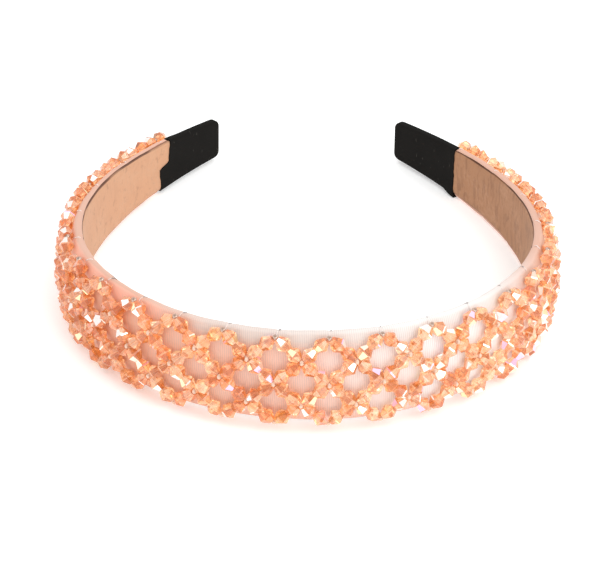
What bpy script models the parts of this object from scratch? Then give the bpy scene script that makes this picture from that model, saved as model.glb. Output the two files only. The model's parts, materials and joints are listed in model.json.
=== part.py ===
"""Crystal headband, lying on its long edge as it rests by itself.

A padded band tapers to two tips held in ribbed wraps. A lining covers the side that touches
the head, and a diamond net of faceted crystals covers the outside. Metres, +Z up, with the
crown towards -Y, the tips towards +Y and the origin at the middle of the footprint.
"""

from math import atan

import bmesh
import bpy
import numpy as np
from mathutils import Vector

# Plan of the band, along the seam between the lining and the padded band
HALF_LENGTH = 0.1950
CROWN_RADIUS = 0.0666
TIP_RADIUS = 0.2410
# Share of the half length that keeps the crown's radius
CROWN_SHARE = 0.417

# Width of the band from long edge to long edge
CROWN_WIDTH = 0.0281
TIP_WIDTH = 0.0136
# Share of the half length that keeps the crown's width
WIDE_SHARE = 0.339

# Section of the padded band and the lining
BAND_THICKNESS = 0.0039
BAND_EDGE = 0.0015
EDGE_SOFTENING = 0.0004
# The padding runs out towards the wraps, from this share of the way there
THIN_SHARE = 0.45
TIP_THICKNESS = 0.0015
TIP_EDGE = 0.0009
LINING_THICKNESS = 0.0010
LINING_RIM = 0.0008
FIT_GAP = 0.0003

# Ribbed wraps, wound tightly over the two tips, which they pinch at the long edges
WRAP_LENGTH = 0.0289
WRAP_WALL = 0.0006
WRAP_PROUD = 0.0003
WRAP_PINCH = 0.0007
WRAP_CORNER = 0.0022
# The left wrap's upper half is shorter by this, down a step in its mouth
LEFT_CUT = 0.0052
STEP_TOP = 0.0008
STEP_FALL = 0.0012

# Net of crystals: every side of a diamond holds two crystals between two small beads
CRYSTAL_DIAMETER = 0.0040
CRYSTAL_LENGTH = 0.0039
CRYSTAL_TABLE = 0.0016
KNOT_LENGTH = 0.0018
NET_MARGIN = 0.0008
NET_CLEARANCE = 0.0005
NET_END_GAP = 0.0012
# The net lies this far to the left of the middle
NET_SHIFT = -0.0018
# Along the arms the top strand eases from a zigzag into a nearly straight file
FILE_START = 0.0850
FILE_EASE = 0.0300
FILE_DEPTH = 0.0006
# The strand below it then keeps this far under the file's top
FILE_GAP = 0.0022

# Fineness of the faceted solids
BAND_SEGMENTS = 43
WRAP_SEGMENTS = 4
CORNER_SEGMENTS = 3
PLAN_STEPS = 4001

# Heights on the outer face of a section, as shares of the half width
OUTER_SHARES = (0.93, 0.70, 0.38)


def smooth(share):
    """Ease from 0 to 1 as the share goes from 0 to 1, flat at both ends."""
    share = np.clip(share, 0, 1)
    return share * share * (3 - 2 * share)


def running_sum(values, steps):
    """Integral of the values over the steps, from zero."""
    parts = (values[1:] + values[:-1]) / 2 * np.diff(steps)
    return np.concatenate([[0.0], np.cumsum(parts)])


def seam_line():
    """Arc, place and heading on the right half: the curvature eases from the crown's to the tip's."""
    arc = np.linspace(0, HALF_LENGTH, PLAN_STEPS)
    ease = smooth((arc / HALF_LENGTH - CROWN_SHARE) / (1 - CROWN_SHARE))
    curvature = 1 / CROWN_RADIUS + (1 / TIP_RADIUS - 1 / CROWN_RADIUS) * ease
    heading = running_sum(curvature, arc)
    return arc, running_sum(np.cos(heading), arc), running_sum(np.sin(heading), arc), heading


ARC, SEAM_X, SEAM_Y, HEADING = seam_line()
MOUTH = HALF_LENGTH - WRAP_LENGTH
SIDE_LENGTH = 2 * CRYSTAL_LENGTH + KNOT_LENGTH


def place(arc, out, height):
    """Points at an arc from the crown, a way out from the seam and a height over the mid-plane."""
    arc, out, height = np.broadcast_arrays(arc, out, height)
    side = np.where(arc < 0, -1.0, 1.0)
    reach = np.abs(arc)
    heading = np.interp(reach, ARC, HEADING)
    x = np.interp(reach, ARC, SEAM_X) + out * np.sin(heading)
    y = np.interp(reach, ARC, SEAM_Y) - out * np.cos(heading)
    return np.stack([side * x, y, height], axis=-1)


def half_width(arc):
    """Half the band's width: constant over the crown, then straight down to the tip's."""
    share = (np.abs(arc) / HALF_LENGTH - WIDE_SHARE) / (1 - WIDE_SHARE)
    return (CROWN_WIDTH + (TIP_WIDTH - CROWN_WIDTH) * np.clip(share, 0, 1)) / 2


def band_sizes(arc, grow=0.0):
    """Half width, edge and crest of the band's outer face, all grown by one amount."""
    thin = smooth((np.abs(arc) / MOUTH - THIN_SHARE) / (1 - THIN_SHARE))
    edge = FIT_GAP + BAND_EDGE + (TIP_EDGE - BAND_EDGE) * thin
    crest = FIT_GAP + BAND_THICKNESS + (TIP_THICKNESS - BAND_THICKNESS) * thin
    return half_width(arc) + grow, edge + grow, crest + grow


def pinched_sizes(arc, grow):
    """Sizes of a section under a wrap, narrower than the band by the pinch."""
    half, edge, crest = band_sizes(arc, grow)
    return half - WRAP_PINCH, edge, crest


def outer_face(height, half, edge, crest):
    """Way out to the domed face: a parabola from the edge over the crest."""
    return edge + (crest - edge) * (1 - (height / half) ** 2)


def mouth_arc(side, height, setback=0.0, shift=0.0):
    """Arc where a wrap starts, over the height: the left one starts later above its step."""
    cut = LEFT_CUT if side < 0 else 0.0
    fall = (STEP_TOP + shift - height) / STEP_FALL
    return MOUTH - setback + cut * (1 - np.clip(fall, 0, 1))


def section(half, inner, edge, crest, shift=0.0):
    """Closed ring of (out, height): flat inside, softened long edges and a domed outer face."""
    soft = min(EDGE_SOFTENING, (edge - inner) / 3)
    levels = [STEP_TOP + shift - STEP_FALL, STEP_TOP + shift]
    domed = [share * half for share in OUTER_SHARES]
    outer = domed + levels[::-1] + [-height for height in domed[::-1]]
    ring = [(inner, height) for height in (-half + soft, *levels, half - soft)]
    ring += [(inner + soft, half), (edge - soft, half)]
    ring += [(outer_face(height, half, edge, crest), height) for height in outer]
    ring += [(edge - soft, -half), (inner + soft, -half)]
    return np.array(ring)


def tip_half(arc, half, end, corner):
    """Half width near a tip: the corners of the outline are quarter circles."""
    over = np.clip(np.abs(arc) - (end - corner), 0, corner)
    return half - corner + np.sqrt(corner ** 2 - over ** 2)


def tip_arcs(start, end, corner):
    """Arcs of the rings from a wrap's mouth to its tip, closer together round the corners."""
    straight = np.linspace(start, end - corner, WRAP_SEGMENTS + 1)[1:]
    turn = np.linspace(0, np.pi / 2, CORNER_SEGMENTS + 1)[1:]
    return np.concatenate([straight, end - corner + corner * np.sin(turn)])


def new_object(name, mesh, material):
    """Object in the headband's collection, parented to the frame it rests in."""
    mesh.materials.append(material)
    thing = bpy.data.objects.new(name, mesh)
    thing.parent = REST
    PARTS.objects.link(thing)
    return thing


def loft(name, rings, material):
    """Closed solid through rings of one even point count, with strips across both ends."""
    mesh = bpy.data.meshes.new(name)
    shell = bmesh.new()
    rows = [[shell.verts.new(Vector(point)) for point in ring] for ring in rings]
    for near, far in zip(rows, rows[1:]):
        for index in range(len(near)):
            after = (index + 1) % len(near)
            shell.faces.new((near[index], near[after], far[after], far[index]))
    for row in (rows[0], rows[-1]):
        for index in range(len(row) // 2 - 1):
            shell.faces.new((row[index], row[index + 1], row[-2 - index], row[-1 - index]))
    bmesh.ops.recalc_face_normals(shell, faces=shell.faces)
    shell.to_mesh(mesh)
    shell.free()
    mesh.shade_smooth()
    mesh.set_sharp_from_angle(angle=0.6)
    return new_object(name, mesh, material)


def tongue_rings(side):
    """Rings of the band's thinner end inside a wrap, from its shoulder to its end."""
    inset = WRAP_PROUD - WRAP_WALL - FIT_GAP
    inner = WRAP_WALL + FIT_GAP - LINING_THICKNESS - WRAP_PROUD
    end = HALF_LENGTH - WRAP_WALL - FIT_GAP
    corner = WRAP_CORNER - WRAP_WALL - FIT_GAP
    half, edge, crest = pinched_sizes(MOUTH, inset)
    ring = section(half, inner, edge, crest, FIT_GAP)
    start = mouth_arc(side, ring[:, 1], 0.0, FIT_GAP)
    rings = [place(side * start, ring[:, 0], ring[:, 1])]
    for arc in tip_arcs(MOUTH, end, corner):
        half, edge, crest = pinched_sizes(arc, inset)
        ring = section(tip_half(arc, half, end, corner), inner, edge, crest, FIT_GAP)
        rings.append(place(side * arc, ring[:, 0], ring[:, 1]))
    return rings


def shoulder_ring(side):
    """Ring of the band's full section just before a wrap."""
    half, edge, crest = band_sizes(MOUTH)
    ring = section(half, FIT_GAP, edge, crest, FIT_GAP)
    arcs = side * mouth_arc(side, ring[:, 1], 2 * FIT_GAP, FIT_GAP)
    return place(arcs, ring[:, 0], ring[:, 1])


def open_arcs():
    """Arcs of the rings between the wraps, an even number so that a flat lies at the crown."""
    end = MOUTH - LINING_THICKNESS - 3 * FIT_GAP
    return np.linspace(-end, end, BAND_SEGMENTS + 1)


def padded_band(material):
    """The band with its satin cover: domed outside, flat inside, with a tongue in each wrap."""
    middle = []
    for arc in open_arcs():
        half, edge, crest = band_sizes(arc)
        ring = section(half, FIT_GAP, edge, crest, FIT_GAP)
        middle.append(place(arc, ring[:, 0], ring[:, 1]))
    rings = tongue_rings(-1)[::-1] + [shoulder_ring(-1)] + middle
    rings += [shoulder_ring(1)] + tongue_rings(1)
    return loft("padded_band", rings, material)


def lining_section(arc):
    """Closed ring of (out, height) of the lining, softened on the side of the head."""
    half = half_width(arc) - LINING_RIM
    levels = [STEP_TOP + FIT_GAP - STEP_FALL, STEP_TOP + FIT_GAP]
    front = (-half + EDGE_SOFTENING, *levels, half - EDGE_SOFTENING)
    back = (half, *levels[::-1], -half)
    ring = [(-LINING_THICKNESS, height) for height in front]
    ring += [(0.0, height) for height in back]
    return np.array(ring)


def lining(material):
    """The thin layer against the head, a little narrower than the band, from wrap to wrap."""
    ends = {}
    for side in (-1, 1):
        ring = lining_section(MOUTH)
        arcs = side * mouth_arc(side, ring[:, 1], 3 * FIT_GAP, FIT_GAP)
        ends[side] = place(arcs, ring[:, 0], ring[:, 1])
    middle = []
    for arc in open_arcs():
        ring = lining_section(arc)
        middle.append(place(arc, ring[:, 0], ring[:, 1]))
    return loft("lining", [ends[-1]] + middle + [ends[1]], material)


def end_wrap(name, side, material):
    """A pocket over one tip: its outer rings run from tip to mouth, its inner ones back again."""
    inner = -LINING_THICKNESS - WRAP_PROUD
    skins = ((WRAP_PROUD, inner, HALF_LENGTH, WRAP_CORNER),
             (WRAP_PROUD - WRAP_WALL, inner + WRAP_WALL, HALF_LENGTH - WRAP_WALL, WRAP_CORNER - WRAP_WALL))
    sheets = []
    for grow, flat, end, corner in skins:
        half, edge, crest = pinched_sizes(MOUTH, grow)
        ring = section(half, flat, edge, crest)
        arcs = side * mouth_arc(side, ring[:, 1])
        rings = [place(arcs, ring[:, 0], ring[:, 1])]
        for arc in tip_arcs(MOUTH, end, corner):
            half, edge, crest = pinched_sizes(arc, grow)
            ring = section(tip_half(arc, half, end, corner), flat, edge, crest)
            rings.append(place(side * arc, ring[:, 0], ring[:, 1]))
        sheets.append(rings)
    return loft(name, sheets[0][::-1] + sheets[1], material)


def net_height(arc):
    """Height of the net between its top and bottom rows."""
    return 2 * (half_width(arc) - NET_MARGIN)


def front_strands():
    """Strands over the crown: enough to keep the two crystals beside a knot clear of each other."""
    apart = CRYSTAL_DIAMETER / (KNOT_LENGTH + CRYSTAL_LENGTH)
    return int(np.ceil(net_height(0.0) / (SIDE_LENGTH * np.sqrt(1 - apart ** 2))))


def row_step(strand, arc):
    """Height from a strand's upper row to its lower one, which the file takes from the top strand."""
    even = net_height(arc) / front_strands()
    ease = smooth((np.abs(arc) - FILE_START) / FILE_EASE)
    if strand == 0:
        return even + (FILE_DEPTH - even) * ease
    top = even + (FILE_GAP - even) * ease
    return (net_height(arc) - top) / (front_strands() - 1)


def knot_columns(strand):
    """Columns of a strand and their arcs: each side of a diamond keeps its length as rows close up."""
    end = MOUTH - NET_END_GAP
    arcs = np.linspace(-(end + LEFT_CUT) if strand == 0 else -end, end, PLAN_STEPS)
    count = running_sum(1 / np.sqrt(SIDE_LENGTH ** 2 - row_step(strand, arcs) ** 2), arcs)
    middle = np.interp(NET_SHIFT, arcs, count)
    columns = np.arange(-int(middle), int(count[-1] - middle) + 1)
    return columns, np.interp(middle + columns, count, arcs)


def knot(strand, low, arc):
    """Place of a knot on a strand's upper or lower row, its crystals just clear of the domed band."""
    half, edge, crest = band_sizes(arc)
    step = row_step(strand, arc)
    rows_below = front_strands() - strand - low
    depth = low * step if strand == 0 else net_height(arc) - rows_below * step
    height = half - NET_MARGIN - depth
    out = outer_face(height, half, edge, crest) + CRYSTAL_DIAMETER / 2 + NET_CLEARANCE
    return place(arc, out, height)


def strand_knots(strand):
    """Knots of one zigzag: from row to row, meeting the next strand at every second column."""
    columns, arcs = knot_columns(strand)
    return [knot(strand, (strand + column + 1) % 2, arc) for column, arc in zip(columns, arcs)]


def crystal_strand(strand):
    """One zigzag strand as a solid: two six-sided double cones on every side, flat at the holes."""
    knots = strand_knots(strand)
    waist = CRYSTAL_TABLE / CRYSTAL_DIAMETER
    # Distance along a side from its knot, and radius as a share of the crystal's
    beads = ((KNOT_LENGTH / 2, waist), (KNOT_LENGTH / 2 + CRYSTAL_LENGTH / 2, 1.0),
             (KNOT_LENGTH / 2 + CRYSTAL_LENGTH, waist), (KNOT_LENGTH / 2 + CRYSTAL_LENGTH * 3 / 2, 1.0),
             (KNOT_LENGTH / 2 + CRYSTAL_LENGTH * 2, waist))
    points = [(knots[0], waist)]
    for near, far in zip(knots, knots[1:]):
        points += [(near + (far - near) * along / SIDE_LENGTH, radius) for along, radius in beads]
    points.append((knots[-1], waist))
    curve = bpy.data.curves.new("strand", "CURVE")
    curve.dimensions = "3D"
    curve.bevel_depth = CRYSTAL_DIAMETER / 2
    curve.bevel_resolution = 1
    curve.use_fill_caps = True
    curve.twist_mode = "Z_UP"
    line = curve.splines.new("POLY")
    line.points.add(len(points) - 1)
    for spot, (point, radius) in zip(line.points, points):
        spot.co = (*point, 1.0)
        spot.radius = radius
    guide = bpy.data.objects.new("strand_guide", curve)
    CUTTERS.objects.link(guide)
    bpy.context.view_layer.update()
    mesh = bpy.data.meshes.new_from_object(guide.evaluated_get(bpy.context.evaluated_depsgraph_get()))
    bpy.data.objects.remove(guide)
    shell = bmesh.new()
    shell.from_mesh(mesh)
    bmesh.ops.remove_doubles(shell, verts=shell.verts, dist=0.00001)
    bmesh.ops.recalc_face_normals(shell, faces=shell.faces)
    shell.to_mesh(mesh)
    shell.free()
    mesh.name = "strand_%d" % strand
    return mesh


def bead_net(material):
    """The net as one body: the strands are joined at the knots where they touch."""
    meshes = [crystal_strand(strand) for strand in range(front_strands())]
    net = new_object("bead_net", meshes[0], material)
    for strand, mesh in enumerate(meshes[1:], start=1):
        joined = bpy.data.objects.new("strand_%d" % strand, mesh)
        joined.parent = REST
        joined.hide_render = True
        joined.display_type = "WIRE"
        CUTTERS.objects.link(joined)
        union = net.modifiers.new("join_%d" % strand, "BOOLEAN")
        union.operation = "UNION"
        union.solver = "MANIFOLD"
        union.object = joined
    return net


def finish(name, colour, roughness, metallic=0.0):
    """A plain material with the colour, roughness and metallic value of one finish."""
    material = bpy.data.materials.new(name)
    material.use_nodes = True
    shader = material.node_tree.nodes["Principled BSDF"]
    shader.inputs["Base Color"].default_value = (*colour, 1.0)
    shader.inputs["Roughness"].default_value = roughness
    shader.inputs["Metallic"].default_value = metallic
    return material


def evaluated_points(things):
    """All points of the finished meshes, in world space."""
    bpy.context.view_layer.update()
    graph = bpy.context.evaluated_depsgraph_get()
    clouds = []
    for thing in things:
        mesh = thing.evaluated_get(graph).to_mesh()
        flat = np.empty(3 * len(mesh.vertices))
        mesh.vertices.foreach_get("co", flat)
        turn = np.array(thing.matrix_world)
        clouds.append(flat.reshape(-1, 3) @ turn[:3, :3].T + turn[:3, 3])
    return np.concatenate(clouds)


def rest_angle(points, balance):
    """Slope of the surface that the lower edges rest on, seen from the side, under the balance."""
    chain = []
    for y, z in sorted(map(tuple, points[:, 1:])):
        while len(chain) > 1:
            (ya, za), (yb, zb) = chain[-2:]
            if (yb - ya) * (z - za) - (zb - za) * (y - ya) > 0:
                break
            chain.pop()
        chain.append((y, z))
    for (ya, za), (yb, zb) in zip(chain, chain[1:]):
        if ya <= balance <= yb:
            return atan((zb - za) / (yb - ya))
    return 0.0


def lay_down(resting, everything):
    """Turn the frame so that the lower edges rest, and put the footprint's middle at the origin."""
    REST.rotation_euler.x = -rest_angle(evaluated_points(resting), SEAM_Y.mean())
    points = evaluated_points(everything)
    low, high = points.min(axis=0), points.max(axis=0)
    REST.location = (-(low[0] + high[0]) / 2, -(low[1] + high[1]) / 2, -low[2])


for old in list(bpy.data.objects):
    bpy.data.objects.remove(old)

PARTS = bpy.data.collections.new("crystal_headband")
CUTTERS = bpy.data.collections.new("strands_to_join")
bpy.context.scene.collection.children.link(PARTS)
bpy.context.scene.collection.children.link(CUTTERS)
REST = bpy.data.objects.new("rest_frame", None)
PARTS.objects.link(REST)

band = padded_band(finish("pink_satin", (0.86, 0.66, 0.62), 0.35))
skin = lining(finish("tan_suede", (0.62, 0.40, 0.27), 0.9))
wraps = [end_wrap(name, side, finish("black_ribbon", (0.012, 0.012, 0.013), 0.7))
         for name, side in (("end_wrap_left", -1), ("end_wrap_right", 1))]
net = bead_net(finish("peach_crystal", (0.95, 0.48, 0.28), 0.08))
lay_down([band] + wraps, [band, skin, net] + wraps)
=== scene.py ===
"""Looks of the crystal headband: satin cover, suede lining, ribbon wraps and the net of crystals.

Every piece is worked out in the frame of the band, where a point has an arc from the crown, a
way out from the seam between lining and cover, and a height over the middle of the width. The
seat at the crown then says how that frame rests in the world. Lengths are in metres.
"""

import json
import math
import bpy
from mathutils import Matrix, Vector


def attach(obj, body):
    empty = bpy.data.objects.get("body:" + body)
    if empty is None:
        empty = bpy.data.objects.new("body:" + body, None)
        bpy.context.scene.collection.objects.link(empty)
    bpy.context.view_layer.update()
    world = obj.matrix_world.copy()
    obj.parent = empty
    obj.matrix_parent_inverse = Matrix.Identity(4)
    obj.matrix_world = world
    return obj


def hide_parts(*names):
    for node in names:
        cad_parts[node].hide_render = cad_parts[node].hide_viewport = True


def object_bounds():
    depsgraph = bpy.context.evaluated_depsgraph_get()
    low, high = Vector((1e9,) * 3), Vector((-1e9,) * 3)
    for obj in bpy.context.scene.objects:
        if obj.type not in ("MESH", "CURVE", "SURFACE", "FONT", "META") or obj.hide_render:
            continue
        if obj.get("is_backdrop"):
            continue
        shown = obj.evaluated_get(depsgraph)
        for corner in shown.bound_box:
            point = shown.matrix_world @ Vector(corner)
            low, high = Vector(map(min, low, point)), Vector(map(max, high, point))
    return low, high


bl_info = {
    "name": "Crystal headband",
    "version": (1, 0, 0),
    "blender": (4, 5, 0),
    "location": "3D View > Sidebar > Headband",
    "description": "Builds the cloth, the crystals, the thread and the stage of a crystal headband",
    "category": "Object",
}

import bpy
import numpy as np
from bpy.props import FloatProperty, FloatVectorProperty, PointerProperty
from mathutils import Matrix, Vector

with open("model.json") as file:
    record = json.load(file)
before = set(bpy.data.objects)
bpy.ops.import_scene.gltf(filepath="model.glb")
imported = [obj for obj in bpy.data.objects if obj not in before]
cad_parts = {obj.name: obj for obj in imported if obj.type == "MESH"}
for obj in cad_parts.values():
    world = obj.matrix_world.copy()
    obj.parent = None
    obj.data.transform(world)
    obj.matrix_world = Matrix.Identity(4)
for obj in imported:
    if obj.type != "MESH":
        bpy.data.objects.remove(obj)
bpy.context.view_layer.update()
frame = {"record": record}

# Plan of the band, along the seam between the lining and the padded band
HALF_LENGTH = 0.1950
CROWN_RADIUS = 0.0666
TIP_RADIUS = 0.2410
CROWN_SHARE = 0.417
PLAN_STEPS = 4001

# Width of the band, constant over this share of the half length
CROWN_WIDTH = 0.0281
TIP_WIDTH = 0.0136
WIDE_SHARE = 0.339

# Section of the band and the lining
BAND_THICKNESS = 0.0039
BAND_EDGE = 0.0015
THIN_SHARE = 0.45
TIP_THICKNESS = 0.0015
TIP_EDGE = 0.0009
LINING_THICKNESS = 0.0010
FIT_GAP = 0.0003
# Half the length of the flat at the crown, which the seat lies on
SEAT_HALF = 0.0038186

# Ribbon wraps
WRAP_LENGTH = 0.0289
WRAP_PROUD = 0.0003
WRAP_PINCH = 0.0007
WRAP_CORNER = 0.0022
MOUTH = HALF_LENGTH - WRAP_LENGTH
# The step in the left mouth: how far back, where, over what height, how much of it is eased, and
# how much nearer the mouth starts above it
LEFT_CUT = 0.0052
STEP_TOP = 0.0008
STEP_FALL = 0.0012
STEP_EASED = 0.6
STEP_CREEP = 0.0008
# Above and below the step the left mouth leans: which way, how far, from what height and over what
MOUTH_LEANS = ((1, 0.0010, STEP_TOP, 0.0075), (-1, 0.0005, 0.0008, 0.0070))
# Visible thickness of the ribbon, and the length and depth over which its folded end rounds off
RIBBON_SKIN = 0.00045
FOLD_LENGTH = 0.0010
FOLD_DEPTH = 0.0007
# Share of a wrap's length that has closer rings, at each end
CLOSE_RINGS = 0.12
# The right wrap's lower corner bulges up to this far behind its mouth, eased over this length
BULGE_END = 0.0058
BULGE_FADE = 0.0046

# The cloth and the lining run on under a wrap by the tuck, and are pressed in there
TUCK = 0.0085
TUCK_PINCH = WRAP_PINCH + 0.0004
TUCK_PRESS = 0.0006
TUCK_START = 0.0009
TUCK_EASE = 0.0014

# Edges wander by sines, each with a height, a length over two pi and a start
MOUTH_WAVES = ((0.00009, 0.0011, 0.0), (0.00006, 0.00043, 1.0))
COVER_WAVES = ((0.00006, 0.0047, 0.0), (0.00005, 0.0019, 1.3))
LINING_WAVES = ((0.00009, 0.0061, 0.0), (0.00007, 0.0023, 0.7))

# The cloth is trimmed as the padding thins, but sooner by this factor
TRIM_SOONER = 1.25
# The rim bulges by this share round the front, and by all of its bulge along the arms
FRONT_BULGE = 0.45
ARM_BULGE_START = 0.055
ARM_BULGE_EASE = 0.030
# Towards the left wrap the rim loses this share of its bulge
BULGE_LOSS = 0.35
LOSS_START = 0.105
LOSS_EASE = 0.045
# The bulge begins this far beyond the lining's edge, over this width
BULGE_GAP = 0.00005
BULGE_EASE = 0.0003
# The lining is this much wider along the left arm
LEFT_WIDER = 0.00035
WIDER_START = 0.095
WIDER_EASE = 0.040
# How far the lining sinks to the band, the roll of its edge, and how its edge is pressed in
LINING_SINK = 0.0001
LINING_ROLL = 0.00025
EDGE_PRESS = 0.00030
EDGE_PRESS_WIDTH = 0.0012
EDGE_PRESS_EASE = 0.0010
# A stitch's dent: its spread along the arc, reach from the edge, ease, and share that goes inwards
DENT_SPREAD = 0.0008
DENT_REACH = 0.0018
DENT_EASE = 0.0014
DENT_TURN = 0.6
# The crystals light the satin from this far below the rim, over this height
NET_LIGHT_TOP = 0.0030
NET_LIGHT_EASE = 0.0022

# Net of crystals
CRYSTAL_DIAMETER = 0.0040
CRYSTAL_LENGTH = 0.0039
KNOT_LENGTH = 0.0018
NET_MARGIN = 0.0008
NET_CLEARANCE = 0.0005
NET_END_GAP = 0.0012
NET_SHIFT = -0.0018
STRANDS = 4
SIDE_LENGTH = 2 * CRYSTAL_LENGTH + KNOT_LENGTH
# Along the arms the top strand straightens into a file
FILE_START = 0.0850
FILE_EASE = 0.0300
FILE_DEPTH = 0.0006
FILE_GAP = 0.0022
# Strands 0 and 1 share no knots from this far past the file's start
FILE_PARTING = 0.008
# In the file the strands are drawn this much closer to the cloth
ARM_CLOSER = 0.0004
# Round the front the top row is drawn up towards the rim, by this share of the lift at the least
TOP_LIFT = 0.0011
LEAST_LIFT = 0.5
LIFT_START = 0.010
LIFT_EASE = 0.030

# Cut of a crystal: its rings' places as shares of its length, their radii as shares of its
# diameter, and how much larger than its stock size it is drawn
CRYSTAL_SIDES = 7
CRYSTAL_RINGS = (-0.5, -0.05, 0.05, 0.5)
CRYSTAL_RADII = (0.24, 0.5, 0.5, 0.24)
CRYSTAL_GROWTH = (1.07, 1.16)
CRYSTAL_SEED = 7
# A loose crystal past each end of the top strand: its share of the usual distance, and its drop
LOOSE_SHARE = 0.8
LOOSE_DROP = 0.0006
# Facets flash more towards the light: places from left to right, and how much at each
FLASH_PLACES = (-0.025, 0.030)
FLASH_FAVOUR = (0.8, 1.6)
# A crystal's depth of colour: the power of its draw, and the spread over its facets
DEPTH_POWER = 1.3
DEPTH_SPREAD = 0.16

# Beads at the knots: wall as a share of the diameter, corners round the hole and round the wall,
# and how far their holes lean out of line
BEAD_WALL = 0.28
BEAD_AROUND = 11
BEAD_SECTION = 6
BEAD_WOBBLE = 0.12
BEAD_SEED = 11
# An outer bead's hole leans out by a share; a top bead hangs lower, and an inner one stands out
OUTER_LEAN = 0.5
TOP_BEAD_DROP = 0.0002
BEAD_PROUD = 0.0004

# Stitches: each crosses the rim this far beside its bead, give or take a share
STITCH_SLIP = 0.0008
SLIP_RANGE = (0.7, 1.3)
STITCH_SEED = 23
THREAD_AROUND = 6
# Way points: under the bead, outer corner, over the rim, inner corner, lining's edge
STITCH_RUN = (0.1, 0.2, 0.8, 1.4, 1.4)
STITCH_RISE = (-0.0016, -0.0004, 0.00002, -0.0005, -0.0011)
STITCH_STEPS = 17
# Along the arms a stitch shows only where it crosses the rim: way points cut off at each end
BEND_START = 0.040
BEND_EASE = 0.020
BEND_CUT = (0.8, 1.5)
# A stitch is in the shade at this way point, within this reach, on the front only
SHADE_POINT = 2.4
SHADE_REACH = 0.9
SHADE_EASE = 0.5
SHADE_END = 0.075

# The photograph's view of the band, in the frame of the band
VIEW_AIM = (0.0, 0.065, 0.0)
VIEW_DISTANCE = 0.900
VIEW_ELEVATION = 0.5004
VIEW_AZIMUTH = -0.0116
VIEW_ROLL = 0.0165
VIEW_FOCAL = 3058.0
VIEW_MIDDLE = (307.6, 260.3)
IMAGE_SIZE = (600, 565)
SENSOR_WIDTH = 36.0

# Soft lamps: name, place, width, power in watts and tint
LAMPS = (("key", (0.75, -0.75, 0.95), 1.2, 8.5, (1.0, 0.99, 0.97)),
         ("fill", (-0.9, -0.5, 0.7), 1.2, 2.0, (1.0, 0.97, 0.94)),
         ("top", (0.1, 0.35, 1.2), 1.8, 3.5, (1.0, 1.0, 1.0)))
SKY_STRENGTH = 0.90
FLOOR_REACH = 4.0


# The shape of the band

def smooth(share):
    """Ease from 0 to 1 as the share goes from 0 to 1: three squares less two cubes of it."""
    share = np.clip(share, 0, 1)
    return share * share * (3 - 2 * share)


def waves(position, parts, turn=1.0):
    """Sum of sines of the position over each part's length, from its start, times its height."""
    return sum(rise * np.sin(position / reach + start * turn) for rise, reach, start in parts)


def running_sum(values, steps):
    """Integral of the values over the steps, from zero, by the trapezium rule."""
    parts = (values[1:] + values[:-1]) / 2 * np.diff(steps)
    return np.concatenate([[0.0], np.cumsum(parts)])


def seam_line():
    """Arc, place and heading on the right half. The curvature eases from the crown's to the tip's,
    the heading is its integral, and the place is the integral of the heading's cosine and sine."""
    arc = np.linspace(0, HALF_LENGTH, PLAN_STEPS)
    ease = smooth((arc / HALF_LENGTH - CROWN_SHARE) / (1 - CROWN_SHARE))
    curvature = 1 / CROWN_RADIUS + (1 / TIP_RADIUS - 1 / CROWN_RADIUS) * ease
    heading = running_sum(curvature, arc)
    return arc, running_sum(np.cos(heading), arc), running_sum(np.sin(heading), arc), heading


ARC, SEAM_X, SEAM_Y, HEADING = seam_line()


def place(arc, out, height):
    """Points of the band frame: the seam's point at the arc, moved out along its normal, and up."""
    arc, out, height = np.broadcast_arrays(arc, out, height)
    side = np.where(arc < 0, -1.0, 1.0)
    reach = np.abs(arc)
    heading = np.interp(reach, ARC, HEADING)
    x = np.interp(reach, ARC, SEAM_X) + out * np.sin(heading)
    y = np.interp(reach, ARC, SEAM_Y) - out * np.cos(heading)
    return np.stack([side * x, y, height], axis=-1)


def half_width(arc):
    """Half the band's width: constant over the crown, then straight down to the tip's."""
    share = (np.abs(arc) / HALF_LENGTH - WIDE_SHARE) / (1 - WIDE_SHARE)
    return (CROWN_WIDTH + (TIP_WIDTH - CROWN_WIDTH) * np.clip(share, 0, 1)) / 2


def thinning(arc):
    """How far the padding has run out: eased from 0 at the thin share of the way to 1 at a wrap."""
    return smooth((np.abs(arc) / MOUTH - THIN_SHARE) / (1 - THIN_SHARE))


def cloth_half(arc, sizes):
    """Half the width of the cloth: the band's, less a trim that comes in as the padding thins."""
    return half_width(arc) - sizes.arm_trim * thinning(arc * TRIM_SOONER)


def left_wider(arc):
    """How much wider the lining is at an arc: eased in along the left arm."""
    return LEFT_WIDER * smooth((-arc - WIDER_START) / WIDER_EASE)


def band_sizes(arc, grow=0.0):
    """Half width, edge and crest of the outer face, all grown by one amount."""
    thin = thinning(arc)
    edge = FIT_GAP + BAND_EDGE + (TIP_EDGE - BAND_EDGE) * thin
    crest = FIT_GAP + BAND_THICKNESS + (TIP_THICKNESS - BAND_THICKNESS) * thin
    return half_width(arc) + grow, edge + grow, crest + grow


def outer_face(height, half, edge, crest):
    """Way out to the domed face: a parabola over the height, from the edge up to the crest."""
    return edge + (crest - edge) * (1 - (height / half) ** 2)


def mouth_arc(side, height):
    """Arc where a wrap starts: its length from the tip, with small waves over the height. On the
    left it jumps towards the tip above a step whose slope is part straight and part eased."""
    wander = waves(height, MOUTH_WAVES, side)
    if side > 0:
        return MOUTH + wander
    fall = np.clip((STEP_TOP - height) / STEP_FALL, 0, 1)
    fall = (1 - STEP_EASED) * fall + STEP_EASED * smooth(fall)
    lean = sum(far * smooth((way * height - start) / ease) for way, far, start, ease in MOUTH_LEANS)
    return MOUTH + (LEFT_CUT - STEP_CREEP) * (1 - fall) + lean + wander


# The rest frame

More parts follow.
